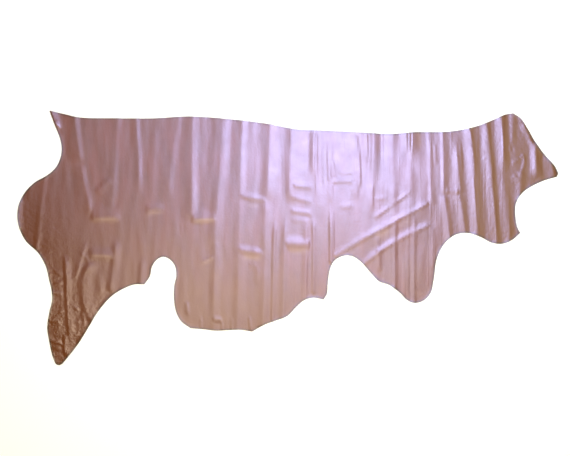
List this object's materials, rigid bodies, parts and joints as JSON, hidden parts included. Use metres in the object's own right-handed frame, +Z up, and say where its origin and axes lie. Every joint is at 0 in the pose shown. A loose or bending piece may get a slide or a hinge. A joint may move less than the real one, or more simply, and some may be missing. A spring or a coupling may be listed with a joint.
{
  "type": "leather side",
  "caption": "Tanned leather side, the half hide of a cow, laid flat grain side up with soft folds left by rolling.",
  "frame": {"origin": "on the supporting surface, under the centre of the hide's bounding box", "axes": "+X along the hide from the butt to the neck, +Y towards the back line, +Z up out of the grain side"},
  "size_m": [2.4201, 1.1394, 0.0061],
  "materials": {
    "leather": "smooth grain with a satin pearl coat"
  },
  "bodies": {
    "root": {"leather_side": "leather"}
  },
  "joints": []
}
